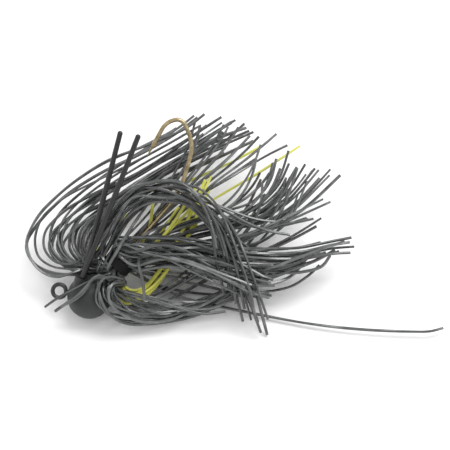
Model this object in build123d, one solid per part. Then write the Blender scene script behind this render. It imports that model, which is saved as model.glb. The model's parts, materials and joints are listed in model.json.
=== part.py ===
from build123d import *
import math
import os
import random

import numpy as np

# Skirted bass jig, lying on its side. Millimetres.
# The pieces are placed in the hook's own plane: x to the right, y up the plane, z out of it,
# with the middle of the skirt collar at (0, 0, 0). The whole jig is then leaned over onto the
# surface, which turns z out of the plane into mostly up.

# ---- driving sizes ----
PLANE_TILT = 30.0            # degrees between the hook's plane and the surface
SHANK_ANGLE = 49.0           # degrees, direction of the shank in the hook's plane
HEAD_RADIUS = 6.2
HEAD_SET_BACK = 12.2         # collar middle to head centre, along the shank
WIRE_DIAMETER = 1.2
EYE_HOLE_RADIUS = 1.3
EYE_LAND = 0.05              # how far the eye's hole is reamed into its ring
EYE_REACH = 8.6              # head centre to eye centre
EYE_BEND = 60.0              # degrees between the shank and the line tie
BARREL_WALL = 0.4            # lead around the shank under the skirt
BARREL_PAST_COLLAR = 0.6
STRAND_DIAMETER = 0.8
STRAND_PITCH = 0.84          # centre to centre where the collar packs the strands
RING_COUNTS = (8, 12, 15)    # strands in each ring inside the collar, from the middle out
COLLAR_LENGTH = 2.6
COLLAR_WALL = 0.45
COLLAR_CLEARANCE = 0.02
BARREL_CLEARANCE = 0.12      # between the barrel and the innermost ring of strands
STRAND_GAP = 0.25            # air kept between loose strands
SURFACE_GAP = 0.02           # loose strands lie this far above the surface
GUARD_ROD_DIAMETER = 1.6     # at the root, where it ends in a ball
GUARD_TIP_DIAMETER = 1.45
GUARD_ROD_SPACING = 1.8
GUARD_STEM_DIAMETER = 4.2
GUARD_STEM_LENGTH = 4.6
GUARD_FIT = 0.03             # around each rod's ball in its cup
GUARD_BALL_PROUD = 0.4       # the balls' middles stand this far out of the stem
GUARD_SWEEP = (40.0, 100.0)  # degrees in the hook's plane that the rods may swing through
POINT_LENGTH = 4.2
BARB_LENGTH = 2.6
BARB_ANGLE = 24.0

# Corners of the hook's wire after the straight shank, ending where the point's taper starts.
SHANK_END = 26.7
BEND_CORNERS = [(21.3, 33.5), (18.0, 41.0), (13.4, 39.7)]
POINT_TIP = (8.3, 30.4)

# Where the guard's stem ends and where the tips of its two rods are.
GUARD_STEM_TOP = (-9.6, -3.6, 3.2)
GUARD_TIPS = {"near": (6.6, 35.6, 17.5), "far": (1.5, 36.7, 14.5)}

# ---- the skirt's legs ----
# Each lock of legs runs between two outer legs, first and last, given by hand from the collar
# to the tip. (count, first leg, last leg); front legs leave the collar towards the head.
FRONT_LOCKS = [
    (3,  # long loops thrown out ahead of the head and back over the hook
     [(-11, -3.5, 2), (-18, -4.2, 1), (-23.5, -0.5, 0), (-25.7, 6.5, -1), (-21.7, 14.5, -2),
      (-12.5, 23, -3), (-2, 30, -4), (9, 34, -5), (20, 39, -6), (25, 43.5, -7)],
     [(-10.8, -2, 0), (-18.3, -1.2, -1), (-23.4, 1.4, -2), (-24.5, 6.4, -3), (-21.7, 12, -4),
      (-15.5, 18, -5), (-5, 23.5, -6), (6.3, 29, -7), (16, 34.7, -8), (23, 39, -9)]),
    (7,  # the loops inside them
     [(-10.5, -1, -1), (-17, 0, -2), (-21, 4, -3), (-20.5, 9, -4), (-15, 14.5, -5),
      (-7, 19, -6), (4, 24, -8), (14, 30, -10), (23, 37, -12), (29, 42, -13)],
     [(-9, -0.5, -3), (-13, 1.5, -5), (-14.5, 5, -6), (-12.5, 9.5, -7), (-8, 13.5, -8),
      (0, 18.5, -9), (10, 25, -11), (20, 31, -13), (30, 36, -15), (37, 39, -16)]),
    (5,  # short tight loops under the hook
     [(-8, 0, -8), (-12.5, 4, -14), (-12, 10, -18), (-5, 17, -22), (4, 24, -26),
      (14, 30, -29), (24, 35, -29), (34, 38, -27)],
     [(-6, 1, -6), (-7, 5, -8), (-4, 10, -10), (2, 15, -12), (10, 20, -14),
      (20, 25, -16), (32, 30, -18), (42, 35, -20)]),
    (8,  # arcs up and over the shank, falling to the right
     [(-5.5, 0.5, 2.5), (-3.5, 7, 3), (-1.5, 14, 4.5), (2.5, 20, 7), (10, 22.5, 8),
      (18, 22.5, 8), (24, 17, 7.5), (27.5, 9.5, 6.5), (29.5, 1, 5), (31, -7.5, 4)],
     [(-4.5, -1, 4), (-1, 7.5, 4.5), (3.5, 15, 5), (10, 20, 5.5), (17, 21, 6), (24, 18, 6),
      (30, 12.5, 5), (34.5, 5, 4), (37, -3, 3.5), (40, -12, 3), (43, -19.5, 1.5)]),
    (2,  # two short legs over the front of the head
     [(-5, -3.5, 6), (-10, -7, 7), (-15, -9.5, 7), (-19, -11.5, 6)],
     [(-4, -4.5, 6), (-9, -8.5, 7.3), (-14, -11, 6.8), (-17, -13, 5.5)]),
    (7,  # loops over the head and along the surface
     [(-4.5, -4, 5.5), (-5.5, -9.5, 6.8), (-3, -13.5, 4.5), (1, -15.5, 1), (8, -16.5, -1.5),
      (17.5, -15.5, -3), (26, -13, -4), (34, -7.5, -5), (40, -4, -6), (48, -1, -6)],
     [(-2.5, -4.5, 4.5), (-1.5, -9, 5), (3, -12, 3), (10, -14, 1.5), (19, -13, 1),
      (28, -9, 1), (37, -4, 1.5), (46, 0, 2), (55, 3, 3), (62, 5, 4)]),
    (3,  # legs folding back across the collar towards the lower right
     [(-1, -5.5, 5), (4, -8, 6.5), (10, -10, 6), (17, -12.5, 5), (24, -14, 3), (31, -12.5, 2)],
     [(2, -8, 1.5), (6, -11, 1.5), (11, -13, 0.5), (18, -14, 0), (25, -12, -1), (33, -8, -1)]),
]
REAR_LOCKS = [
    (9,  # up past the bend
     [(4, 6, -3), (8, 13, -4), (12, 20, -5), (15, 27, -5), (18, 33, -6), (20, 41, -7)],
     [(6, 5, -4), (14, 11, -6), (22, 17, -8), (30, 22, -10), (39, 27, -12), (46, 31, -14),
      (52.5, 34, -15)]),
    (8,  # out to the right, tips turned up
     [(6, 4, -2), (14, 8, -3), (22, 12, -4), (30, 14, -5), (38, 17, -6), (43, 23, -7),
      (44.5, 29, -8)],
     [(6, 3, -3), (14, 5, -5), (24, 6, -7), (34, 6, -9), (44, 8, -10), (54, 14, -11),
      (64, 23.5, -12)]),
    (9,  # straight out to the right
     [(6, 3, 2), (14, 6, 3), (23, 7, 3), (33, 5, 2), (43, 5, 0), (52, 5, -2), (60, 6.5, -3),
      (67, 7.5, -4)],
     [(6, 1, 2), (14, 1, 3), (24, -2, 3), (34, -5, 2), (43, -6.5, 1), (50, -5, 0),
      (55, -1.5, 0), (57.5, 1, 0)]),
    (7,  # arcs low over the front of the shank
     [(5, 4.5, 4), (11, 7, 5), (18, 6, 6), (26, 2, 6), (34, -1, 5), (42, -3, 4)],
     [(5, 1, 5), (12, 2, 7), (20, 0, 8), (28, -4, 7), (36, -7, 5), (43, -8, 4)]),
    (1,  # the curl in front of the collar
     [(3.5, 1.7, 7), (6.5, 0.5, 9), (7.8, -3, 9.5), (8.5, -9, 8.5)], None),
    (1,  # the long stray leg on the surface
     [(5, -2, -3), (11, -6.5, -5), (19, -10, -5), (29, -12.3, -5), (42, -14.8, -3.6),
      (54, -17, -2.3), (66, -18.5, -1.4), (78, -19.4, -0.9), (88, -19.9, -0.6), (92, -19.3, -1)],
     None),
]
SEED = 7
ARC_SHARE = 0.45             # of the shorter run beside a corner that its arc takes up
MOUTH_REACH = 0.9            # a strand runs straight this far past each face of the collar
FAN_REACH = 2.2              # and then fans out over this reach
FAN_SPREAD = 1.25
EAGERNESS = 1.3              # share of each push that a round of settling takes
WANDER = 1.6                 # how far a leg's tip strays from its lock


# ---- worked out from the sizes above ----
AXIS = np.array([math.cos(math.radians(SHANK_ANGLE)), math.sin(math.radians(SHANK_ANGLE)), 0.0])
SIDE = np.array([-AXIS[1], AXIS[0], 0.0])
OUT = np.array([0.0, 0.0, 1.0])
HEAD_CENTRE = -HEAD_SET_BACK * AXIS
WIRE_RADIUS = WIRE_DIAMETER / 2
BARREL_RADIUS = WIRE_RADIUS + BARREL_WALL
STRAND_RADIUS = STRAND_DIAMETER / 2
FIRST_RING_RADIUS = BARREL_RADIUS + BARREL_CLEARANCE + STRAND_RADIUS
PACKED_RADIUS = FIRST_RING_RADIUS + (len(RING_COUNTS) - 1) * STRAND_PITCH + STRAND_RADIUS
COLLAR_BORE_RADIUS = PACKED_RADIUS + COLLAR_CLEARANCE
COLLAR_RADIUS = COLLAR_BORE_RADIUS + COLLAR_WALL
EYE_RING_RADIUS = EYE_HOLE_RADIUS + WIRE_RADIUS - EYE_LAND
EYE_AIM_ANGLE = math.radians(SHANK_ANGLE + 180.0 - EYE_BEND)
EYE_AIM = np.array([math.cos(EYE_AIM_ANGLE), math.sin(EYE_AIM_ANGLE), 0.0])
EYE_CENTRE = HEAD_CENTRE + EYE_REACH * EYE_AIM
STEM_TOP = np.array(GUARD_STEM_TOP)
STEM_AIM = sum(np.array(tip) for tip in GUARD_TIPS.values()) / len(GUARD_TIPS) - STEM_TOP
STEM_AIM /= np.linalg.norm(STEM_AIM)
UP = np.array([0.0, math.sin(math.radians(PLANE_TILT)), math.cos(math.radians(PLANE_TILT))])


def height(points):
    """How high points in the hook's plane stand above the surface the head rests on."""
    return (np.asarray(points) - HEAD_CENTRE) @ UP + HEAD_RADIUS


# ---- the skirt's routes ----
def lock_legs(lock, wobble):
    """The legs of one lock, evenly between its first and last leg, each a little astray."""
    count, first, last = lock
    last = last or first
    legs = []
    for number in range(count):
        share = number / max(count - 1, 1)
        length = round(len(first) + share * (len(last) - len(first)))
        leg = resample(first, length) * (1 - share) + resample(last, length) * share
        astray = np.array([wobble.uniform(-1, 1) for _ in range(3)])
        turn = np.array([wobble.uniform(-1, 1) for _ in range(3)])
        for place in range(length):
            along = (place + 1) / length
            leg[place] += WANDER * along * (astray * along + turn * math.sin(3 * along))
        legs.append(leg)
    return legs


def resample(points, length):
    """The same route with another number of points."""
    points = np.array(points, dtype=float)
    places = np.linspace(0, len(points) - 1, length)
    return np.column_stack([np.interp(places, range(len(points)), points[:, axis])
                            for axis in range(3)])


def turn_about_axis(leg):
    """Which side of the shank a leg leaves on, as an angle."""
    start = leg[0] + leg[1]
    return math.atan2(start @ OUT, start @ SIDE) % (2 * math.pi)


def collar_slots():
    """Where each strand passes through the collar: (angle, radius), sorted by angle."""
    slots = []
    for ring, count in enumerate(RING_COUNTS):
        radius = FIRST_RING_RADIUS + ring * STRAND_PITCH
        slots += [((number + 0.5 * (ring % 2)) / count * 2 * math.pi, radius)
                  for number in range(count)]
    return sorted(slots)


def strand_routes():
    """Every strand's corner points, front tip to rear tip, before they push each other apart."""
    wobble = random.Random(SEED)
    fronts = [leg for lock in FRONT_LOCKS for leg in lock_legs(lock, wobble)]
    rears = [leg for lock in REAR_LOCKS for leg in lock_legs(lock, wobble)]
    fronts.sort(key=turn_about_axis)
    rears.sort(key=turn_about_axis)
    routes = []
    for front, rear, (angle, radius) in zip(fronts, rears, collar_slots()):
        slot = radius * (math.cos(angle) * SIDE + math.sin(angle) * OUT)
        mouth = (COLLAR_LENGTH / 2 + MOUTH_REACH) * AXIS
        fan = FAN_SPREAD * slot
        flare = (COLLAR_LENGTH / 2 + FAN_REACH) * AXIS
        routes.append(np.vstack([front[::-1], fan - flare, slot - mouth,
                                 slot + mouth, fan + flare, rear]))
    return routes


def tangent_lengths(points):
    """How much of the two runs beside each inner corner its arc takes up."""
    runs = np.linalg.norm(np.diff(points, axis=0), axis=1)
    lengths = ARC_SHARE * np.minimum(runs[:-1], runs[1:])
    at_mouth = np.linalg.norm(points[1:-1], axis=1) < COLLAR_RADIUS
    return np.where(at_mouth, np.minimum(lengths, MOUTH_REACH), lengths)


def line_weights(points):
    """What each corner gives to places along its route's rounded line, four to each corner."""
    unit = np.eye(len(points))
    runs = np.linalg.norm(np.diff(points, axis=0), axis=1)
    rows = [unit[0]]
    for corner, tangent in enumerate(tangent_lengths(points), start=1):
        start = unit[corner] + (unit[corner - 1] - unit[corner]) * tangent / runs[corner - 1]
        end = unit[corner] + (unit[corner + 1] - unit[corner]) * tangent / runs[corner]
        for t in (0, 1 / 3, 2 / 3, 1):
            rows.append((1 - t) ** 2 * start + 2 * t * (1 - t) * unit[corner] + t ** 2 * end)
    rows.append(unit[-1])
    return np.array(rows)


def hook_corners():
    """The corners of the hook's wire, from the eye to where the point's taper starts."""
    tip = np.array([*POINT_TIP, 0.0])
    last = np.array([*BEND_CORNERS[-1], 0.0])
    taper = tip + (last - tip) / np.linalg.norm(last - tip) * POINT_LENGTH
    eye_end = EYE_CENTRE - EYE_RING_RADIUS * EYE_AIM
    bends = [np.array([*corner, 0.0]) for corner in BEND_CORNERS]
    return [eye_end, HEAD_CENTRE, SHANK_END * AXIS, *bends, taper]


def fixed_lines():
    """The wire, barrel, collar rims and guard, as lines with a radius, for legs to go round."""
    hook_line = hook_corners() + [np.array([*POINT_TIP, 0.0])]
    lines = [(hook_line, WIRE_RADIUS),
             ([HEAD_CENTRE, (COLLAR_LENGTH / 2 + BARREL_PAST_COLLAR) * AXIS], BARREL_RADIUS),
             ([STEM_TOP - GUARD_STEM_LENGTH * STEM_AIM, STEM_TOP], GUARD_STEM_DIAMETER / 2)]
    for end in (-1, 1):
        rim_middle = end * (COLLAR_LENGTH - COLLAR_WALL) / 2 * AXIS
        turns = np.linspace(0, 2 * math.pi, 25)[:, None]
        rim = (COLLAR_RADIUS - COLLAR_WALL / 2) * (np.cos(turns) * SIDE + np.sin(turns) * OUT)
        lines.append((list(rim_middle + rim), COLLAR_WALL / 2))
    return lines + [(guard_rod_line(name), GUARD_ROD_DIAMETER / 2) for name in GUARD_TIPS]


def push_off_ball(places, centre, radius):
    """What moves places out of a ball."""
    from_it = places - centre
    distance = np.maximum(np.linalg.norm(from_it, axis=1), 1e-6)
    return from_it * (np.maximum(radius - distance, 0) / distance)[:, None]


def push_off_collar(places):
    """What moves places out of the collar's band, sideways or past its nearer face."""
    clear = STRAND_RADIUS + 2 * STRAND_GAP
    along = places @ AXIS
    across = places - along[:, None] * AXIS
    radius = np.maximum(np.linalg.norm(across, axis=1), 1e-6)
    out = COLLAR_RADIUS + clear - radius
    past = COLLAR_LENGTH / 2 + clear - np.abs(along)
    inside = (out > 0) & (past > 0)
    sideways = across * (out / radius)[:, None]
    endways = (np.sign(along) * past)[:, None] * AXIS
    return np.where(inside[:, None], np.where((out < past)[:, None], sideways, endways), 0)


def nearest_shares(one, one_run, other, other_run):
    """How far along each of two runs they come nearest to each other."""
    between = one - other
    a = np.maximum((one_run ** 2).sum(axis=1), 1e-9)
    b = (one_run * other_run).sum(axis=1)
    c = (one_run * between).sum(axis=1)
    e = np.maximum((other_run ** 2).sum(axis=1), 1e-9)
    f = (other_run * between).sum(axis=1)
    share = np.clip((b * f - c * e) / np.maximum(a * e - b * b, 1e-9), 0, 1)
    other_share = np.clip((b * share + f) / e, 0, 1)
    return np.clip((b * other_share - c) / a, 0, 1), other_share


def close_pairs(places, owner, reach):
    """Pairs of runs, named by the places they start at, near enough to touch before long."""
    first = np.nonzero(owner[:-1] == owner[1:])[0]
    middles = (places[first] + places[first + 1]) / 2
    half = np.linalg.norm(places[first + 1] - places[first], axis=1) / 2 + reach
    square = (middles ** 2).sum(axis=1)
    gaps = square[:, None] + square[None, :] - 2 * middles @ middles.T
    near = gaps < (half[:, None] + half[None, :]) ** 2
    near &= owner[first][:, None] < owner[first][None, :]
    one, other = np.nonzero(near)
    return first[one], first[other]


def gather_weights(lines):
    """One matrix that turns every line's corners into places along all the lines."""
    blocks = [line_weights(line) for line in lines]
    weights = np.zeros((sum(map(len, blocks)), sum(map(len, lines))))
    row = column = 0
    for block in blocks:
        weights[row:row + block.shape[0], column:column + block.shape[1]] = block
        row += block.shape[0]
        column += block.shape[1]
    return weights, np.repeat(np.arange(len(lines)), [len(block) for block in blocks])


def push_apart(places, radius, one, other):
    """What moves two runs that lie too near each other apart, shared by their ends."""
    one_run, other_run = places[one + 1] - places[one], places[other + 1] - places[other]
    share, other_share = nearest_shares(places[one], one_run, places[other], other_run)
    between = (places[one] + one_run * share[:, None]
               - places[other] - other_run * other_share[:, None])
    distance = np.maximum(np.linalg.norm(between, axis=1), 1e-6)
    lack = np.maximum(radius[one] + radius[other] + STRAND_GAP - distance, 0) / distance
    way = between * lack[:, None]
    at = np.concatenate([one, one + 1, other, other + 1])
    ways = np.vstack([way * (1 - share)[:, None], way * share[:, None],
                      way * (other_share - 1)[:, None], -way * other_share[:, None]])
    return np.column_stack([np.bincount(at, ways[:, axis], len(places)) for axis in range(3)])


def settle(routes, rounds=300, refresh=20):
    """Push the loose legs apart, out of the other pieces and up off the surface."""
    fixed = fixed_lines()
    lines = routes + [np.array(line) for line, _ in fixed]
    radius_of = [STRAND_RADIUS] * len(routes) + [radius for _, radius in fixed]
    ends = np.cumsum([len(line) for line in lines])
    points = np.vstack(lines)
    held = np.linalg.norm(points, axis=1) < COLLAR_RADIUS
    held[ends[len(routes) - 1]:] = True
    for turn in range(rounds):
        if turn % refresh == 0:
            weights, owner = gather_weights(np.split(points, ends[:-1]))
            radius = np.array(radius_of)[owner]
            one, other = close_pairs(weights @ points, owner, 1.0)
            scale = np.maximum(weights.sum(axis=0), 1)[:, None]
            loose = (weights @ held < 0.5)[:, None]
        places = weights @ points
        push = push_apart(places, radius, one, other)
        push += push_off_ball(places, HEAD_CENTRE, HEAD_RADIUS + STRAND_RADIUS + STRAND_GAP)
        push += push_off_ball(places, EYE_CENTRE, EYE_RING_RADIUS + WIRE_RADIUS + STRAND_DIAMETER)
        push += push_off_collar(places) * loose
        push += np.maximum(SURFACE_GAP + STRAND_RADIUS - height(places), 0)[:, None] * UP
        push += np.minimum(guard_ceiling(places) - places @ OUT, 0)[:, None] * OUT
        moved = weights.T @ push / scale * EAGERNESS
        moved[held] = 0
        points = points + moved
    return np.split(points, ends[:-1])[:len(routes)]


def guard_ceiling(places):
    """The highest the legs may stand out of the hook's plane, under the guard rods' sweep."""
    from_stem = (places - STEM_TOP)[:, :2]
    reach = np.linalg.norm(from_stem, axis=1)
    root, tip = guard_rod_line("far")
    slope = (tip - root)[2] / np.linalg.norm((tip - root)[:2])
    under = root[2] + reach * slope - GUARD_ROD_DIAMETER / 2 - STRAND_RADIUS - 2 * STRAND_GAP
    angle = np.degrees(np.arctan2(from_stem[:, 1], from_stem[:, 0]))
    swept = (angle > GUARD_SWEEP[0]) & (angle < GUARD_SWEEP[1]) & (reach > GUARD_STEM_DIAMETER * 0.7)
    return np.where(swept, under, np.inf)


# ---- solids, in the hook's plane ----
def corner_radii(points):
    """The radius of the arc at each inner corner."""
    ways = np.diff(points, axis=0)
    ways /= np.linalg.norm(ways, axis=1)[:, None]
    turns = np.arccos(np.clip((ways[:-1] * ways[1:]).sum(axis=1), -1, 1))
    return list(tangent_lengths(points) / np.tan(np.maximum(turns, 0.01) / 2))


def rounded_path(points):
    """Straight runs joined by tangent arcs."""
    points = np.array(points)
    corners = [tuple(float(value) for value in point) for point in points]
    return FilletPolyline(*corners, radius=corner_radii(points))


def tube(path, radius):
    """A round wire or strand along a path."""
    return sweep(Plane(origin=path @ 0, z_dir=path % 0) * Circle(radius), path=path)


def rod_between(start, end, radius, end_radius=None):
    """A round rod or cone from one point to another."""
    start, end = Vector(*start), Vector(*end)
    length = (end - start).length
    plane = Plane(origin=start, z_dir=end - start)
    grounded = (Align.CENTER, Align.CENTER, Align.MIN)
    if end_radius is None:
        return plane * Cylinder(radius, length, align=grounded)
    return plane * Cone(radius, end_radius, length, align=grounded)


def make_hook():
    """One wire: line-tie ring, bend inside the head, shank, round bend, barb and point."""
    corners = hook_corners()
    wire = tube(rounded_path(corners), WIRE_RADIUS)
    ring = Pos(*EYE_CENTRE) * Torus(EYE_RING_RADIUS, WIRE_RADIUS)
    tip = np.array([*POINT_TIP, 0.0])
    taper_start = corners[-1]
    point = rod_between(taper_start, tip, WIRE_RADIUS, WIRE_RADIUS * 0.12)
    back = (taper_start - tip) / np.linalg.norm(taper_start - tip)
    inward = np.array([back[1], -back[0], 0.0])
    lift = math.radians(BARB_ANGLE)
    root = tip + back * POINT_LENGTH * 0.55
    edge = root + BARB_LENGTH * (math.cos(lift) * back + math.sin(lift) * inward)
    barb = rod_between(root, edge, WIRE_RADIUS * 0.55, WIRE_RADIUS * 0.12)
    reamer = Pos(*EYE_CENTRE) * Cylinder(EYE_HOLE_RADIUS, 2 * WIRE_DIAMETER)
    return wire + ring + point + barb - reamer


def make_head(hook_solid, stem_solid):
    """The lead ball cast round the hook, with the barrel that the skirt is tied on."""
    ball = Pos(*HEAD_CENTRE) * Sphere(HEAD_RADIUS)
    barrel_end = (COLLAR_LENGTH / 2 + BARREL_PAST_COLLAR) * AXIS
    barrel = rod_between(HEAD_CENTRE, barrel_end, BARREL_RADIUS)
    return ball + barrel - hook_solid - stem_solid


def make_collar():
    """The stretched rubber ring that ties the strands onto the barrel."""
    start = -COLLAR_LENGTH / 2 * AXIS
    end = -start
    return rod_between(start, end, COLLAR_RADIUS) - rod_between(start, end, COLLAR_BORE_RADIUS)


def guard_rod_line(name):
    """The middle of a guard rod's ball, and its tip."""
    across = OUT - (OUT @ STEM_AIM) * STEM_AIM
    side = {"near": 1, "far": -1}[name]
    offset = side * GUARD_ROD_SPACING / 2 * across / np.linalg.norm(across)
    return STEM_TOP + GUARD_BALL_PROUD * STEM_AIM + offset, np.array(GUARD_TIPS[name])


def make_guard_rod(name):
    """One tapered guard rod, from its ball in the stem to its rounded tip."""
    root, tip = guard_rod_line(name)
    aim = (tip - root) / np.linalg.norm(tip - root)
    end = tip - aim * GUARD_TIP_DIAMETER / 2
    ball = Pos(*root) * Sphere(GUARD_ROD_DIAMETER / 2)
    shaft = rod_between(root, end, GUARD_ROD_DIAMETER / 2, GUARD_TIP_DIAMETER / 2)
    return ball + shaft + Pos(*end) * Sphere(GUARD_TIP_DIAMETER / 2)


def make_guard_stem():
    """The plug glued into the head's bore, with a cup for each rod's ball."""
    return rod_between(STEM_TOP - GUARD_STEM_LENGTH * STEM_AIM, STEM_TOP, GUARD_STEM_DIAMETER / 2)


def make_cups():
    """What the two rods' balls need cut out of the stem."""
    cups = [Pos(*guard_rod_line(name)[0]) * Sphere(GUARD_ROD_DIAMETER / 2 + GUARD_FIT)
            for name in GUARD_TIPS]
    return cups[0] + cups[1]


def make_strand(route):
    """One rubber strand, front tip to rear tip, through its slot in the collar."""
    return tube(rounded_path(route), STRAND_RADIUS)


# ---- standing the jig on the surface ----
def stand(shapes):
    """Lean every piece over with the hook's plane, onto the surface, centred on the origin."""
    leaned = {name: Rot(X=PLANE_TILT) * shape for name, shape in shapes.items()}
    boxes = [shape.bounding_box() for shape in leaned.values()]
    low = [min(tuple(box.min)[axis] for box in boxes) for axis in range(3)]
    high = [max(tuple(box.max)[axis] for box in boxes) for axis in range(3)]
    shift = Pos(-(low[0] + high[0]) / 2, -(low[1] + high[1]) / 2, -low[2])
    return {name: shift * shape for name, shape in leaned.items()}, shift


def main():
    os.makedirs("parts", exist_ok=True)
    hook_solid = make_hook()
    stem = make_guard_stem()
    shapes = {
        "hook": hook_solid,
        "lead_head": make_head(hook_solid, stem),
        "skirt_collar": make_collar(),
        "guard_stem": stem - make_cups(),
        "guard_rod_near": make_guard_rod("near"),
        "guard_rod_far": make_guard_rod("far"),
    }
    for number, route in enumerate(settle(strand_routes()), start=1):
        shapes[f"skirt_strand_{number:02d}"] = make_strand(route)
    placed, shift = stand(shapes)
    for name, shape in placed.items():
        export_step(shape, f"parts/{name}.step")
    lean = Rot(X=PLANE_TILT)
    print("line tie", shift * lean * Pos(*EYE_CENTRE))
    for name in GUARD_TIPS:
        print("guard rod", name, shift * lean * Pos(*guard_rod_line(name)[0]))
    print("collar", shift * lean * Pos(0, 0, 0))


if __name__ == "__main__":
    main()
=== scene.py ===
import heapq
import json
import math
import random

import bpy
import numpy as np
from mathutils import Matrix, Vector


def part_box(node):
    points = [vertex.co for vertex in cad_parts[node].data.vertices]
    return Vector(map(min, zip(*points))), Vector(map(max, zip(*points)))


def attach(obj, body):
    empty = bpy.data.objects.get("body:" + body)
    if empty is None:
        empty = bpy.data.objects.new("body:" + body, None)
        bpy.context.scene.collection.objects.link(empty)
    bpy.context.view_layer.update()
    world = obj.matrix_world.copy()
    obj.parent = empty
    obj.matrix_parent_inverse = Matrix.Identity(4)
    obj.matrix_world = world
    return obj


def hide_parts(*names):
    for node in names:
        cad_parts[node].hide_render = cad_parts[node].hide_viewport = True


bl_info = {
    "name": "Skirted jig",
    "version": (1, 0, 0),
    "blender": (4, 5, 0),
    "location": "3D View > Sidebar > Jig",
    "description": "Dresses the frame of a skirted weedless jig: strands, finishes and stage",
    "category": "Object",
}

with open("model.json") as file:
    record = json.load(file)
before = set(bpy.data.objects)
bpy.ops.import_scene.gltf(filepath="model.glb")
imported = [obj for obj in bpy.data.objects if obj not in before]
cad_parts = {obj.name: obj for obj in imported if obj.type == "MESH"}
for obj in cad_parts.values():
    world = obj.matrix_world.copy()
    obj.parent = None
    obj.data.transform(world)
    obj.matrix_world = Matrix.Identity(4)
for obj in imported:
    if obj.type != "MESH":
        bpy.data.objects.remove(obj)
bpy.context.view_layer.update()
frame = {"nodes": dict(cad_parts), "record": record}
nodes = frame["nodes"]
record = frame["record"]

MM = 0.001
PLANE_TILT = math.radians(30)        # between the hook's plane and the surface
OUT = np.array([0.0, -math.sin(PLANE_TILT), math.cos(PLANE_TILT)])
PLANE = np.array([[1, 0, 0], [0, math.cos(PLANE_TILT), math.sin(PLANE_TILT)], OUT])
SLOT_OF = {part["node"]: part["material_slot"] for part in record["subparts"]}
STRANDS = sorted(name for name in nodes if name.startswith("skirt_strand"))
LINE_TIE = record["mounts"][0]["pos_m"]
SEED = 11

# The strands.
STRAND_RADIUS = 0.4 * MM             # of the round strands in the frame
SAME_PLACE = 0.05 * MM               # places nearer than this are one
STRAND_STEP = 1.1 * MM               # between the points of a cut strand's line
LOWEST = 0.5 * MM                    # of a strand's middle above the surface
FASTEST_TURN = math.pi / 40          # of a strand about its own line, per point
WIDTH_RANGE = (0.88, 1.18)           # of a strand against the set width
PAINTED_LIGHT_RANGE = (0.45, 1.75)           # painted light and shade: how much lighter or darker a strand's colour is made than its slot's
MERGE_DISTANCE = 1e-6
CRISP_ANGLE = math.radians(30)       # edges that turn more than this stay crisp

# The filling legs.
FILLING_WIDTHS = {"strand_grey": 0.86, "strand_yellow": 1.1}   # against a CAD strand's
STRAY = 4 * MM                       # how far a filling leg's tip strays
LOCK_POINTS = 60                     # on one leg of a lock
LOCK_ROUNDING = 24                   # passes that round the corners of a lock's leg
LOCK_LENGTHS = (0.86, 1)             # share of a lock's leg that is kept
FEWEST_POINTS = 8                    # a leg with no more than this gets no neighbour
WIDEST_GAP = 11 * MM                 # between two legs that get one between them
BETWEEN_SHARES = (0.3, 0.7)          # where a leg lies between its two neighbours
BETWEEN_LIFTS = (0.4, 1.0)           # mm off its neighbours, to either side
BETWEEN_RISE = 0.25                  # share of the leg after which the lift is full
BETWEEN_LENGTHS = (0.85, 1)          # share of a leg between two that is kept
BETWEEN_FEWEST = 6                   # points that such a leg keeps

# The finishes.
NOISE_RANGE = (0.3, 0.7)             # where nearly all of a noise's values lie
BLOTCH_DETAIL = 3
GRAIN_DETAIL = 2
ROUGH_SWING = 0.06                   # of a finish's roughness to either side
EYE_PAINT = (4.5 * MM, 5.5 * MM)     # the paint fades out this far from the line tie
# A Mix node's sockets for its two inputs and its result, by what it mixes.
MIX_SOCKETS = {"RGBA": (6, 7, 2), "FLOAT": (2, 3, 0)}

# The stage, in metres.
CAMERA_TARGET = np.array([-2.4, -4.9, 16.3]) * MM
CAMERA_CLIP = (0.01, 20)
FLOOR_SIZE = 4
FLOOR_COLOR = (0.95, 0.95, 0.955)
LAMP_PLACE = (0.35, 0.3, 0.95)
LAMP_TURN = (math.radians(-18), math.radians(20), 0)
LAMP_SIZE = (0.7, 0.5)

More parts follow.
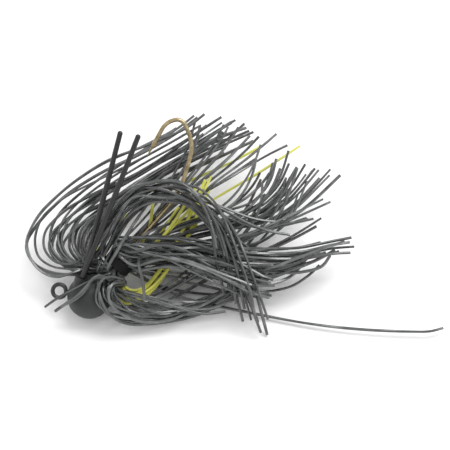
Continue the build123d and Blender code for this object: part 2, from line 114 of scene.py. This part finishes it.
# Locks of more legs in the skirt's depth: (slot, how many, first leg, last leg), each leg in mm
# from the collar's middle: right, up and out of the hook's plane.
FILLING_LOCKS = {
    "loop_yellow": ("strand_yellow", 7,
                    [(-1.5, -3, 1), (-1, -8, 2), (1.5, -11.5, 2), (6, -11.5, 1), (11, -7.5, 0),
                     (15.5, -2, -1), (20, 6, -2), (24, 13, -3), (27, 21, -4)],
                    [(0, -3, 1), (1, -7.5, 1), (3.5, -9.5, 0), (7, -7.5, -1), (10, -2.5, -2),
                     (14, 4, -3), (17, 11, -4), (20, 18, -5), (23, 25, -6)]),
    "rise_yellow": ("strand_yellow", 4,
                    [(2.5, 2, 0), (6, 4, -1), (8.5, 9, -2), (9.5, 15, -3), (12, 21, -4)],
                    [(4, 2, 0), (9, 4, -1), (14, 8, -2), (19, 13, -3), (24, 20, -4)]),
    "low_grey": ("strand_grey", 6,
                 [(3, -2, 0), (9, -4.5, -3), (17, -6.5, -4), (26, -8, -4), (35, -9, -4),
                  (43, -7, -3)],
                 [(3, 0, -1), (10, 1, -4), (19, 1, -5), (29, 2, -5), (39, -1, -4), (49, 2, -4)]),
    "under_grey": ("strand_grey", 8,
                   [(-1.5, -4, 2), (-2, -10, 3), (2, -13.5, 1), (9, -12.5, -2), (17, -8, -4),
                    (26, -4, -6), (36, 3, -7), (44, 12, -8)],
                   [(0, -3, 0), (1.5, -8, 0), (6, -10, -2), (12, -8, -4), (20, -3, -6),
                    (28, 4, -8), (36, 13, -9), (40, 23, -10)]),
    "splay_grey": ("strand_grey", 7,
                   [(4, 2, 1), (13, 4, 1), (24, 6, 0), (36, 10, -1), (48, 15, -3), (59, 19, -5)],
                   [(4, 1, 1), (13, 1, 0), (24, 1, -1), (36, 4, -3), (47, 8, -4),
                    (60, 14, -5)]),
    "turned_grey": ("strand_grey", 6,
                    [(5, 3, -1), (15, 5, -2), (26, 6, -3), (36, 9, -4), (42, 17, -4),
                     (44, 28, -5)],
                    [(5, 3, -1), (15, 4, -2), (27, 4, -3), (39, 4, -3), (49, 10, -4),
                     (53, 26, -5)]),
    "arc_grey": ("strand_grey", 6,
                 [(-5, 1, 1), (-3, 8, 1), (0, 14, 1), (5, 19, 2), (12, 20, 3), (20, 17, 3),
                  (26, 11, 2), (30, 6, 1), (34, 1, 0)],
                 [(-4, 2, 0), (0, 8, -1), (5, 14, -1), (11, 17, 0), (19, 17, 1), (27, 14, 1),
                  (34, 10, 0), (41, 8, -1), (49, 9, -2)]),
    "cross_grey": ("strand_grey", 9,
                   [(4, 3, -1), (10, 8, -1), (18, 12, -1), (26, 15, -2), (33, 20, -3),
                    (38, 28, -4), (40, 37, -5)],
                   [(5, 3, -2), (13, 6, -3), (23, 9, -4), (34, 11, -5), (43, 15, -5),
                    (49, 21, -6), (53, 29, -7)]),
    "loop_grey": ("strand_grey", 7,
                  [(-8, -2, -1), (-14, -1.5, -2), (-19, 1, -3), (-21.5, 6, -4), (-19, 12, -5),
                   (-12, 18, -6), (-3, 24, -7), (7, 30, -8), (18, 36, -10), (27, 43, -12)],
                  [(-6, 0, -2), (-10, 2, -3), (-11, 6, -4), (-8, 11, -5), (-2, 16, -6),
                   (6, 21, -7), (15, 27, -8), (25, 32, -10), (34, 40, -12)]),
}


def middle(name):
    """The middle of a node's box."""
    low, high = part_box(name)
    return np.array((low + high) / 2)


COLLAR = middle("skirt_collar")
AXIS = COLLAR - middle("lead_head")
AXIS /= np.linalg.norm(AXIS)


# ---- settings a user would change ----
class JigSkirtSettings(bpy.types.PropertyGroup):
    strand_width: bpy.props.FloatProperty(
        name="Strand width", description="Across the flats of one cut strand",
        default=0.66 * MM, unit="LENGTH")
    strand_corner: bpy.props.FloatProperty(
        name="Strand corner", description="How far a strand's edges are broken",
        default=0.1 * MM, unit="LENGTH")
    grey: bpy.props.FloatVectorProperty(
        name="Grey", description="Colour of the grey strands", subtype="COLOR",
        default=(0.07, 0.074, 0.074))
    yellow: bpy.props.FloatVectorProperty(
        name="Yellow", description="Colour of the yellow strands", subtype="COLOR",
        default=(0.6, 0.6, 0.1))


class JigFinishSettings(bpy.types.PropertyGroup):
    head: bpy.props.FloatVectorProperty(
        name="Head", description="Colour of the head's powder paint", subtype="COLOR",
        default=(0.022, 0.024, 0.024))
    hook: bpy.props.FloatVectorProperty(
        name="Hook", description="Colour of the hook's bronzed wire", subtype="COLOR",
        default=(0.36, 0.29, 0.17))
    guard: bpy.props.FloatVectorProperty(
        name="Guard", description="Colour of the weed guard", subtype="COLOR",
        default=(0.014, 0.014, 0.015))
    collar: bpy.props.FloatVectorProperty(
        name="Collar", description="Colour of the rubber collar", subtype="COLOR",
        default=(0.006, 0.006, 0.006))


class JigStageSettings(bpy.types.PropertyGroup):
    camera_distance: bpy.props.FloatProperty(
        name="Camera distance", description="From the camera to what it looks at",
        default=0.6, unit="LENGTH")
    lens: bpy.props.FloatProperty(
        name="Lens", description="Focal length", default=171, unit="CAMERA")
    light: bpy.props.FloatProperty(
        name="Light", description="Strength of the studio light", default=6.8, unit="POWER")
    surround: bpy.props.FloatProperty(
        name="Surround", description="Brightness of the studio's walls", default=0.92)


# ---- small helpers ----
def deselect():
    """Nothing selected, nothing active."""
    bpy.ops.object.select_all(action="DESELECT")
    bpy.context.view_layer.objects.active = None


def select_only(*objects):
    """These objects selected, the first one active."""
    deselect()
    for item in objects:
        item.select_set(True)
    bpy.context.view_layer.objects.active = objects[0]


# ---- the strands' middle lines ----
def corner_data(mesh):
    """Each mesh corner's vertex, place and normal."""
    count = len(mesh.loops)
    vertex = np.zeros(count, int)
    mesh.loops.foreach_get("vertex_index", vertex)
    normal = np.zeros(count * 3)
    mesh.corner_normals.foreach_get("vector", normal)
    place = np.zeros(len(mesh.vertices) * 3)
    mesh.vertices.foreach_get("co", place)
    return place.reshape(-1, 3)[vertex], normal.reshape(-1, 3)


def distances_from(start, links):
    """How far every linked place is from the start."""
    far = {start: 0.0}
    queue = [(0.0, start)]
    while queue:
        distance, here = heapq.heappop(queue)
        if distance > far[here]:
            continue
        for there, length in links[here].items():
            if distance + length < far.get(there, math.inf):
                far[there] = distance + length
                heapq.heappush(queue, (distance + length, there))
    return far


def surface_net(name):
    """What lies under a round strand's surface: its middle's places, their links, the busiest."""
    place, normal = corner_data(nodes[name].data)
    centre = place - STRAND_RADIUS * normal
    _, first, which = np.unique(np.round(centre / SAME_PLACE), axis=0,
                                return_index=True, return_inverse=True)
    which = which.ravel()
    spots = centre[first]
    links = [{} for _ in spots]
    for triangle in which.reshape(-1, 3):
        for one, other in ((0, 1), (1, 2), (2, 0)):
            a, b = int(triangle[one]), int(triangle[other])
            if a != b:
                length = float(np.linalg.norm(spots[a] - spots[b]))
                links[a][b] = links[b][a] = length
    return spots, links, int(np.argmax(np.bincount(which)))


def middle_line(name):
    """The middle line of a round strand in the frame, from the tip of its front leg."""
    spots, links, busiest = surface_net(name)
    far = distances_from(busiest, links)
    end = max(far, key=far.get)
    far = distances_from(end, links)
    line = [spots[end]]
    last = 0.0
    for spot in sorted(far, key=far.get):
        if far[spot] > last + 2 * SAME_PLACE:
            line.append(spots[spot])
            last = far[spot]
    line = np.array(line)
    if (line[0] - COLLAR) @ AXIS > (line[-1] - COLLAR) @ AXIS:
        line = line[::-1]
    return line


def lengths_along(line):
    """How far along the line each of its points is."""
    return np.concatenate([[0.0], np.cumsum(np.linalg.norm(np.diff(line, axis=0), axis=1))])


def spaced(line, count):
    """The same line with this many points, evenly apart."""
    along = lengths_along(line)
    places = np.linspace(0, along[-1], count)
    return np.column_stack([np.interp(places, along, line[:, axis]) for axis in range(3)])


def above_surface(line):
    """The same line, nowhere lower than a strand that lies on the surface."""
    line[:, 2] = np.maximum(line[:, 2], LOWEST)
    return line


def strand_line(name):
    """A strand's middle line, at the even step that its strip is made with."""
    line = middle_line(name)
    count = round(lengths_along(line)[-1] / STRAND_STEP) + 1
    return above_surface(spaced(line, count))


# ---- the filling legs' lines ----
def any_way(dice):
    """A random step, up to 1 either way along each axis."""
    return np.array([dice.uniform(-1, 1) for _ in range(3)])


def rounded(line):
    """The same line with its corners rounded."""
    for _ in range(LOCK_ROUNDING):
        line[1:-1] = (line[:-2] + 2 * line[1:-1] + line[2:]) / 4
    return line


def lock_legs(lock, dice):
    """A lock's legs, evenly between its first and last leg, each a little astray."""
    _, count, *ends = lock
    legs = []
    for number in range(count):
        share = number / (count - 1)
        one, other = (spaced(COLLAR + np.array(leg) @ PLANE * MM, LOCK_POINTS) for leg in ends)
        leg = rounded(one * (1 - share) + other * share)
        along = np.linspace(0, 1, len(leg))[:, None]
        drift = any_way(dice) * STRAY
        bow = any_way(dice) * STRAY / 2
        leg = above_surface(leg + drift * along ** 2 + bow * np.sin(math.pi * along))
        legs.append(leg[:round(len(leg) * dice.uniform(*LOCK_LENGTHS))])
    return legs


def legs_between(legs, dice):
    """Legs between neighbouring legs that lie near each other."""
    made = []
    for one, other in zip(legs, legs[1:]):
        count = (len(one) + len(other)) // 2
        one, other = spaced(one, count), spaced(other, count)
        if np.linalg.norm(one - other, axis=1).max() > WIDEST_GAP:
            continue
        share = dice.uniform(*BETWEEN_SHARES)
        leg = one * (1 - share) + other * share
        along = np.linspace(0, 1, count)[:, None]
        lift = dice.choice((-1, 1)) * dice.uniform(*BETWEEN_LIFTS) * MM
        drift = any_way(dice) * STRAY
        rise = np.minimum(along / BETWEEN_RISE, 1)
        leg = above_surface(leg + OUT * lift * rise + drift * along ** 2)
        made.append(leg[:max(BETWEEN_FEWEST, round(count * dice.uniform(*BETWEEN_LENGTHS)))])
    return made


def two_legs(line):
    """A strand's front and rear leg, each from the collar out."""
    nearest = int(np.argmin(np.linalg.norm(line - COLLAR, axis=1)))
    return {"front": line[:nearest + 1][::-1], "rear": line[nearest:]}


def filling_legs(lines, dice):
    """More legs, between neighbouring ones and in locks, as (name, legs, slot)."""
    found = []
    for side in ("front", "rear"):
        legs = [two_legs(lines[name])[side] for name in STRANDS if SLOT_OF[name] == "strand_grey"]
        legs = [leg for leg in legs if len(leg) > FEWEST_POINTS]
        found.append((side, legs_between(legs, dice), "strand_grey"))
    for name, lock in FILLING_LOCKS.items():
        found.append((name, lock_legs(lock, dice), lock[0]))
    return found


# ---- strips along lines ----
def new_path(name, dimensions, kind, count):
    """A curve object with one spline of this kind, with this many points still to be placed."""
    deselect()
    bpy.ops.curve.primitive_nurbs_path_add()
    path = bpy.context.object
    path.name = name
    path.data.dimensions = dimensions
    path.data.splines.clear()
    path.data.resolution_u = 2
    spline = path.data.splines.new(kind)
    spline.points.add(count - 1)
    return path, spline


def make_profile(width, corner):
    """The outline of one cut strand: a square with broken edges."""
    flat = width / 2
    cut = flat - corner
    outline = [(flat, -cut), (flat, cut), (cut, flat), (-cut, flat),
               (-flat, cut), (-flat, -cut), (-cut, -flat), (cut, -flat)]
    profile, spline = new_path("strand_profile", "2D", "POLY", len(outline))
    for point, (x, y) in zip(spline.points, outline):
        point.co = (x, y, 0, 1)
    spline.use_cyclic_u = True
    return profile


def make_strip(line, profile, dice, widening):
    """A mesh strip along one line, slowly turning about it, with its own painted light: its
    colour made lighter or darker at random, as if lit or in shade.
    """
    path, spline = new_path("strip", "3D", "NURBS", len(line))
    path.data.bevel_mode = "OBJECT"
    path.data.bevel_object = profile
    path.data.use_fill_caps = True
    turn = dice.uniform(0, math.tau)
    rate = dice.uniform(-1, 1) * FASTEST_TURN
    width = widening * dice.uniform(*WIDTH_RANGE)
    for number, (point, place) in enumerate(zip(spline.points, line)):
        point.co = (*place, 1)
        point.tilt = turn + rate * number
        point.radius = width
    spline.order_u = 3
    spline.use_endpoint_u = True
    select_only(path)
    bpy.ops.object.convert(target="MESH")
    strip = bpy.context.object
    # painted highlight and shade: one random factor per strand makes it look lit or shaded
    painted_light = strip.data.attributes.new("painted_light", "FLOAT", "POINT")
    painted_light.data.foreach_set("value", [dice.uniform(*PAINTED_LIGHT_RANGE)] * len(strip.data.vertices))
    return strip


def make_strips(name, lines, profile, dice, widening=1.0):
    """One mesh of strips along the lines."""
    select_only(*[make_strip(line, profile, dice, widening) for line in lines])
    if len(lines) > 1:
        bpy.ops.object.join()
    strips = bpy.context.object
    strips.name = name
    strips.data.name = name
    bpy.ops.object.mode_set(mode="EDIT")
    bpy.ops.mesh.select_all(action="SELECT")
    bpy.ops.mesh.remove_doubles(threshold=MERGE_DISTANCE)
    bpy.ops.mesh.normals_make_consistent(inside=False)
    bpy.ops.object.mode_set(mode="OBJECT")
    bpy.ops.object.shade_smooth_by_angle(angle=CRISP_ANGLE)
    return strips


# ---- materials ----
def map_range(tree, value, start=(0.0, 1.0), end=(0.0, 1.0)):
    """The value, carried from the start range to the end range."""
    node = tree.nodes.new("ShaderNodeMapRange")
    for label, number in zip(("From Min", "From Max", "To Min", "To Max"), (*start, *end)):
        node.inputs[label].default_value = number
    tree.links.new(value, node.inputs["Value"])
    return node.outputs[0]


def mix(tree, kind, mask, first, second):
    """Goes from the first value or socket to the second as the mask goes from 0 to 1."""
    node = tree.nodes.new("ShaderNodeMix")
    node.data_type = kind
    tree.links.new(mask, node.inputs["Factor"])
    *inputs, result = MIX_SOCKETS[kind]
    for number, given in zip(inputs, (first, second)):
        if isinstance(given, bpy.types.NodeSocket):
            tree.links.new(given, node.inputs[number])
        else:
            node.inputs[number].default_value = given
    return node.outputs[result]


def scaled_color(tree, color, factor):
    """A colour, given as a value or a socket, scaled by a factor's socket."""
    node = tree.nodes.new("ShaderNodeVectorMath")
    node.operation = "SCALE"
    if isinstance(color, bpy.types.NodeSocket):
        tree.links.new(color, node.inputs[0])
    else:
        node.inputs[0].default_value = color
    tree.links.new(factor, node.inputs["Scale"])
    return node.outputs[0]


def near_mask(tree, place, inner, outer):
    """1 within the inner distance of a place and 0 past the outer one."""
    where = tree.nodes.new("ShaderNodeTexCoord")
    away = tree.nodes.new("ShaderNodeVectorMath")
    away.operation = "DISTANCE"
    away.inputs[1].default_value = place
    tree.links.new(where.outputs["Object"], away.inputs[0])
    return map_range(tree, away.outputs["Value"], (inner, outer), (1.0, 0.0))


def new_group(name, sockets):
    """An empty node group with these sockets: (name, in or out, type, default)."""
    group = bpy.data.node_groups.new(name, "ShaderNodeTree")
    for label, way, kind, default in sockets:
        socket = group.interface.new_socket(label, in_out=way, socket_type=kind)
        if default is not None:
            socket.default_value = default
    return group


def marks_group():
    """Colour with soft blotches and a fine bump, at the sizes given, from object coordinates."""
    group = new_group("finish_marks", [
        ("Color", "INPUT", "NodeSocketColor", (0.5, 0.5, 0.5, 1)),
        ("Blotch Size", "INPUT", "NodeSocketFloat", 4 * MM),
        ("Blotch Depth", "INPUT", "NodeSocketFloat", 0.3),
        ("Grain Size", "INPUT", "NodeSocketFloat", 0.15 * MM),
        ("Grain Height", "INPUT", "NodeSocketFloat", 0.02 * MM),
        ("Color", "OUTPUT", "NodeSocketColor", None),
        ("Mask", "OUTPUT", "NodeSocketFloat", None),
        ("Normal", "OUTPUT", "NodeSocketVector", None)])
    tree, link = group.nodes, group.links.new
    given = tree.new("NodeGroupInput")
    result = tree.new("NodeGroupOutput")
    where = tree.new("ShaderNodeTexCoord").outputs["Object"]

    def noise(size, detail):
        scale = tree.new("ShaderNodeMath")
        scale.operation = "DIVIDE"
        scale.inputs[0].default_value = 1.0
        link(size, scale.inputs[1])
        texture = tree.new("ShaderNodeTexNoise")
        texture.inputs["Detail"].default_value = detail
        link(where, texture.inputs["Vector"])
        link(scale.outputs[0], texture.inputs["Scale"])
        return texture.outputs["Fac"]

    mask = map_range(group, noise(given.outputs["Blotch Size"], BLOTCH_DETAIL), NOISE_RANGE)
    half = tree.new("ShaderNodeMath")
    half.operation = "SUBTRACT"
    half.inputs[1].default_value = 0.5
    link(mask, half.inputs[0])
    swing = tree.new("ShaderNodeMath")
    swing.operation = "MULTIPLY_ADD"
    link(half.outputs[0], swing.inputs[0])
    link(given.outputs["Blotch Depth"], swing.inputs[1])
    swing.inputs[2].default_value = 1.0
    bump = tree.new("ShaderNodeBump")
    link(noise(given.outputs["Grain Size"], GRAIN_DETAIL), bump.inputs["Height"])
    link(given.outputs["Grain Height"], bump.inputs["Distance"])
    link(scaled_color(group, given.outputs["Color"], swing.outputs[0]), result.inputs["Color"])
    link(mask, result.inputs["Mask"])
    link(bump.outputs[0], result.inputs["Normal"])
    return group


def new_material(name, color, rough, blotch, grain, specular=0.5):
    """A marked material. Its blotches are (size, depth) and its grain is (size, height)."""
    material = bpy.data.materials.new(name)
    material.use_nodes = True
    tree = material.node_tree
    shader = tree.nodes["Principled BSDF"]
    marks = tree.nodes.new("ShaderNodeGroup")
    marks.name = "marks"
    marks.node_tree = bpy.data.node_groups.get("finish_marks") or marks_group()
    marks.inputs["Color"].default_value = (*color, 1)
    marks.inputs["Blotch Size"].default_value, marks.inputs["Blotch Depth"].default_value = blotch
    marks.inputs["Grain Size"].default_value, marks.inputs["Grain Height"].default_value = grain
    tree.links.new(marks.outputs["Color"], shader.inputs["Base Color"])
    tree.links.new(marks.outputs["Normal"], shader.inputs["Normal"])
    swing = (rough - ROUGH_SWING, rough + ROUGH_SWING)
    tree.links.new(map_range(tree, marks.outputs["Mask"], end=swing), shader.inputs["Roughness"])
    shader.inputs["Specular IOR Level"].default_value = specular
    return material


def paint_light_by_strand(material, color):
    """The colour given to a material's marks is scaled by each strand's own painted light, so
    some strands are painted as lit and others as shaded.
    """
    tree = material.node_tree
    own = tree.nodes.new("ShaderNodeAttribute")
    own.attribute_name = "painted_light"
    tree.links.new(scaled_color(tree, color, own.outputs["Fac"]),
                   tree.nodes["marks"].inputs["Color"])


def coat(piece, material):
    """Gives a piece its one material."""
    piece.data.materials.clear()
    piece.data.materials.append(material)


# ---- the pieces ----
class JIG_OT_camera(bpy.types.Operator):
    """Put the camera above the hook's plane"""
    bl_idname = "jig.camera"
    bl_label = "Camera"

    def execute(self, context):
        stage = context.scene.jig_stage
        deselect()
        bpy.ops.object.camera_add(
            location=tuple(CAMERA_TARGET + OUT * stage.camera_distance),
            rotation=(PLANE_TILT, 0, 0))
        camera = context.object
        camera.name = "camera"
        camera.data.lens = stage.lens
        camera.data.clip_start, camera.data.clip_end = CAMERA_CLIP
        context.scene.camera = camera
        context.scene.view_settings.view_transform = "Standard"
        return {"FINISHED"}


class JIG_OT_skirt(bpy.types.Operator):
    """Make the skirt's cut strands along the frame's round ones, and the legs that fill it"""
    bl_idname = "jig.skirt"
    bl_label = "Skirt strands"

    def execute(self, context):
        skirt = context.scene.jig_skirt
        dice = random.Random(SEED)
        grey = new_material("strand_grey", skirt.grey, 0.24, blotch=(3 * MM, 0.9),
                            grain=(0.3 * MM, 0.03 * MM), specular=0.9)
        # painted light: the grey strands get painted lit and shaded copies of their colour
        paint_light_by_strand(grey, skirt.grey)
        yellow = new_material("strand_yellow", skirt.yellow, 0.45, blotch=(5 * MM, 0.35),
                              grain=(0.25 * MM, 0.012 * MM))
        finish = {"strand_grey": grey, "strand_yellow": yellow}
        profile = make_profile(skirt.strand_width, skirt.strand_corner)
        lines = {name: strand_line(name) for name in STRANDS}
        for name, line in lines.items():
            strips = make_strips(name.replace("skirt_strand", "cut_strand"), [line],
                                 profile, dice)
            coat(strips, finish[SLOT_OF[name]])
            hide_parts(name)
            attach(strips, "jig")
        for label, legs, slot in filling_legs(lines, dice):
            strips = make_strips(f"filling_{label}", legs, profile, dice,
                                 FILLING_WIDTHS[slot])
            coat(strips, finish[slot])
            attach(strips, "jig")
        bpy.data.objects.remove(profile)
        return {"FINISHED"}


class JIG_OT_head(bpy.types.Operator):
    """Paint the lead head"""
    bl_idname = "jig.head"
    bl_label = "Head"

    def execute(self, context):
        paint = new_material("head_paint", context.scene.jig_finish.head, 0.5,
                             blotch=(2.5 * MM, 0.35), grain=(0.22 * MM, 0.03 * MM),
                             specular=0.4)
        coat(nodes["lead_head"], paint)
        return {"FINISHED"}


class JIG_OT_hook(bpy.types.Operator):
    """Bronze the hook, with the head's paint on its eye"""
    bl_idname = "jig.hook"
    bl_label = "Hook"

    def execute(self, context):
        finish = context.scene.jig_finish
        bronze = new_material("hook_bronze", finish.hook, 0.26, blotch=(1.6 * MM, 0.7),
                              grain=(0.12 * MM, 0.01 * MM))
        tree = bronze.node_tree
        shader = tree.nodes["Principled BSDF"]
        eye = near_mask(tree, LINE_TIE, *EYE_PAINT)
        color = mix(tree, "RGBA", eye, tree.nodes["marks"].outputs["Color"], (*finish.head, 1))
        tree.links.new(color, shader.inputs["Base Color"])
        tree.links.new(map_range(tree, eye, end=(1.0, 0.0)), shader.inputs["Metallic"])
        coat(nodes["hook"], bronze)
        return {"FINISHED"}


class JIG_OT_guard(bpy.types.Operator):
    """Colour the weed guard's stem and rods"""
    bl_idname = "jig.guard"
    bl_label = "Weed guard"

    def execute(self, context):
        plastic = new_material("guard_plastic", context.scene.jig_finish.guard, 0.3,
                               blotch=(3 * MM, 0.35), grain=(0.3 * MM, 0.015 * MM))
        for name in ("guard_stem", "guard_rod_near", "guard_rod_far"):
            coat(nodes[name], plastic)
        return {"FINISHED"}


class JIG_OT_collar(bpy.types.Operator):
    """Colour the collar that holds the skirt"""
    bl_idname = "jig.collar"
    bl_label = "Collar"

    def execute(self, context):
        rubber = new_material("collar_rubber", context.scene.jig_finish.collar, 0.7,
                              blotch=(1.5 * MM, 0.3), grain=(0.2 * MM, 0.02 * MM),
                              specular=0.25)
        coat(nodes["skirt_collar"], rubber)
        return {"FINISHED"}


class JIG_OT_stage(bpy.types.Operator):
    """Lay the white surface and light it"""
    bl_idname = "jig.stage"
    bl_label = "Stage"

    def execute(self, context):
        stage = context.scene.jig_stage
        deselect()
        bpy.ops.mesh.primitive_plane_add(size=FLOOR_SIZE)
        floor = context.object
        floor.name = "floor"
        paper = new_material("floor_paper", FLOOR_COLOR, 0.8, blotch=(0.3, 0.01),
                             grain=(1 * MM, 0.001 * MM), specular=0.1)
        floor.data.materials.append(paper)
        world = bpy.data.worlds.new("studio")
        world.use_nodes = True
        context.scene.world = world
        tree = world.node_tree
        back = tree.nodes["Background"]
        back.inputs["Color"].default_value = (1, 1, 1, 1)
        seen = tree.nodes.new("ShaderNodeLightPath").outputs["Is Camera Ray"]
        tree.links.new(mix(tree, "FLOAT", seen, stage.surround, 1.0), back.inputs["Strength"])
        deselect()
        bpy.ops.object.light_add(type="AREA", location=LAMP_PLACE, rotation=LAMP_TURN)
        lamp = context.object
        lamp.name = "softbox"
        lamp.data.shape = "RECTANGLE"
        lamp.data.size, lamp.data.size_y = LAMP_SIZE
        lamp.data.energy = stage.light
        return {"FINISHED"}


PIECES = (JIG_OT_camera, JIG_OT_skirt, JIG_OT_head, JIG_OT_hook, JIG_OT_guard,
          JIG_OT_collar, JIG_OT_stage)
SETTINGS = {"jig_skirt": JigSkirtSettings, "jig_finish": JigFinishSettings,
            "jig_stage": JigStageSettings}


class JIG_PT_panel(bpy.types.Panel):
    """The jig's settings and pieces"""
    bl_label = "Jig"
    bl_idname = "JIG_PT_panel"
    bl_space_type = "VIEW_3D"
    bl_region_type = "UI"
    bl_category = "Jig"

    def draw(self, context):
        layout = self.layout
        for name, kind in SETTINGS.items():
            box = layout.box()
            for field in kind.__annotations__:
                box.prop(getattr(context.scene, name), field)
        for piece in PIECES:
            layout.operator(piece.bl_idname)


def register():
    for kind in (*SETTINGS.values(), *PIECES, JIG_PT_panel):
        bpy.utils.register_class(kind)
    for name, kind in SETTINGS.items():
        setattr(bpy.types.Scene, name, bpy.props.PointerProperty(type=kind))


def unregister():
    for name in SETTINGS:
        delattr(bpy.types.Scene, name)
    for kind in reversed((*SETTINGS.values(), *PIECES, JIG_PT_panel)):
        bpy.utils.unregister_class(kind)


def main():
    register()
    for piece in PIECES:
        getattr(bpy.ops.jig, piece.bl_idname.split(".")[1])()


if __name__ == "__main__":
    main()
